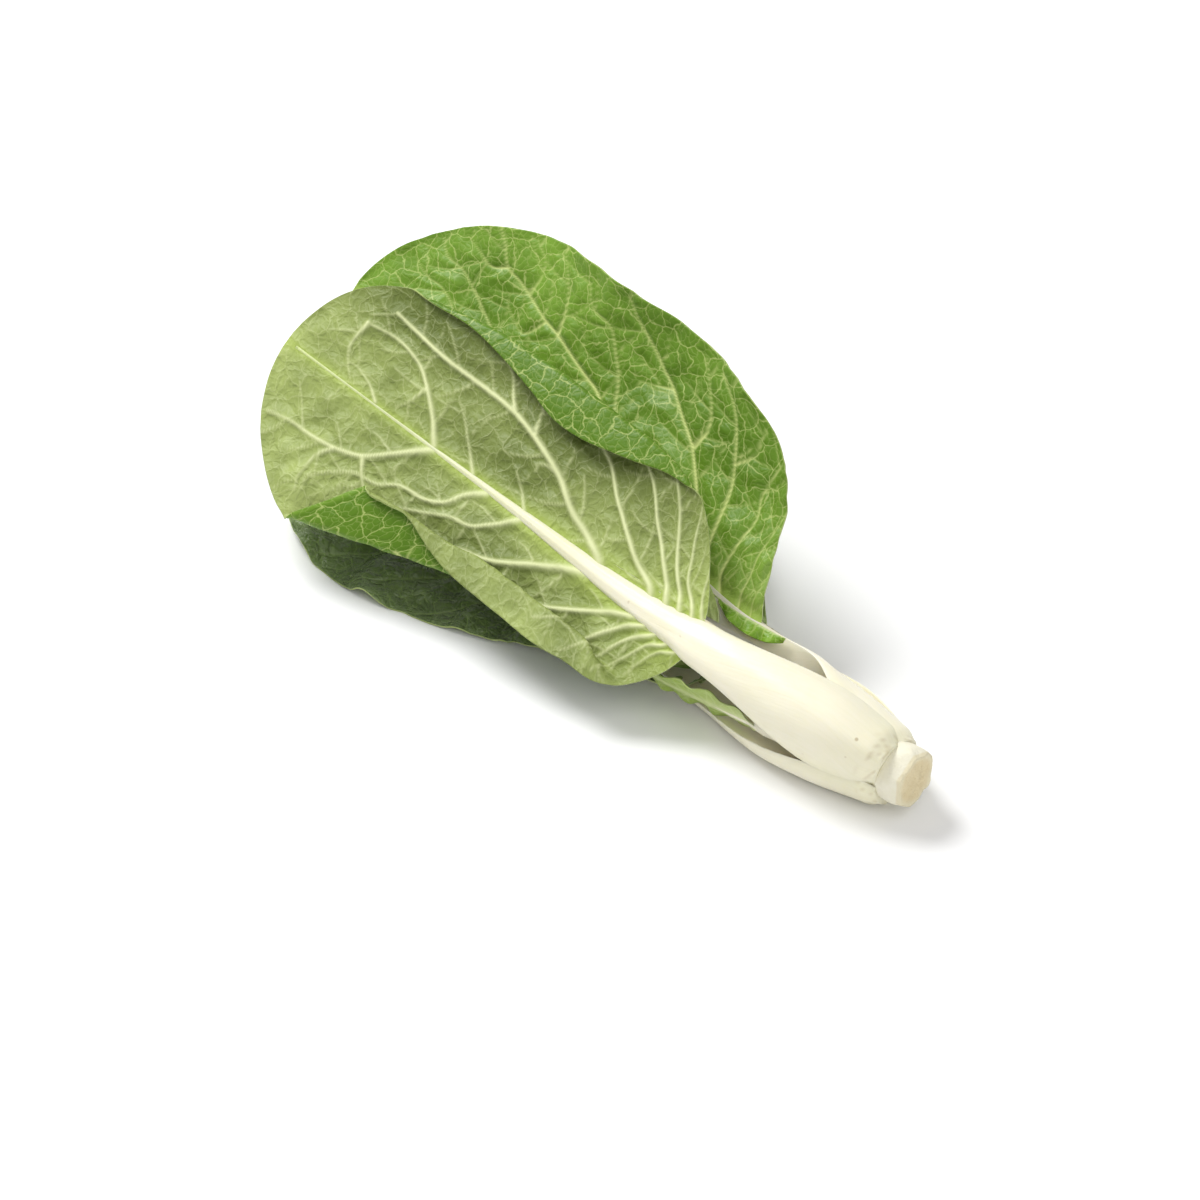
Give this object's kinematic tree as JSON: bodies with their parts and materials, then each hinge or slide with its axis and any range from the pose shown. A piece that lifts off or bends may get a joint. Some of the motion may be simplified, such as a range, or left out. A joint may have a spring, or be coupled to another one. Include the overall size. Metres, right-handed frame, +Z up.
{
  "type": "bok choy",
  "caption": "A trimmed head of bok choy lying on its side: broad ivory stalks joined at a cut stem, opening into folded, ribbed green leaf blades.",
  "frame": {"origin": "the surface that the head lies on, under the middle of its bounding box", "axes": "+X along the stem towards its cut end, +Z up, +Y towards the far side with the rear leaf"},
  "size_m": [0.2884, 0.1256, 0.0946],
  "materials": {
    "stem": "moist cut stem, tan in the cut face and off-white round it",
    "stalk": "smooth crisp ivory stalk with a low waxy sheen and faint lengthwise streaks",
    "blade": "green leaf, darker and glossier on its face, pale and matt on its back, with pale ribs",
    "inner_blade": "tender yellow-green leaf with pale ribs"
  },
  "bodies": {
    "root": {"stem_base": "stem", "leaf_front_stalk": "stalk", "leaf_front_blade": "blade", "leaf_rear_stalk": "stalk", "leaf_rear_blade": "blade", "leaf_far_stalk": "stalk", "leaf_far_blade": "blade", "leaf_under_stalk": "stalk", "leaf_under_blade": "blade", "leaf_inner_upper_stalk": "stalk", "leaf_inner_upper_blade": "inner_blade", "leaf_inner_lower_stalk": "stalk", "leaf_inner_lower_blade": "inner_blade", "leaf_heart_stalk": "stalk", "leaf_heart_blade": "inner_blade"}
  },
  "joints": []
}
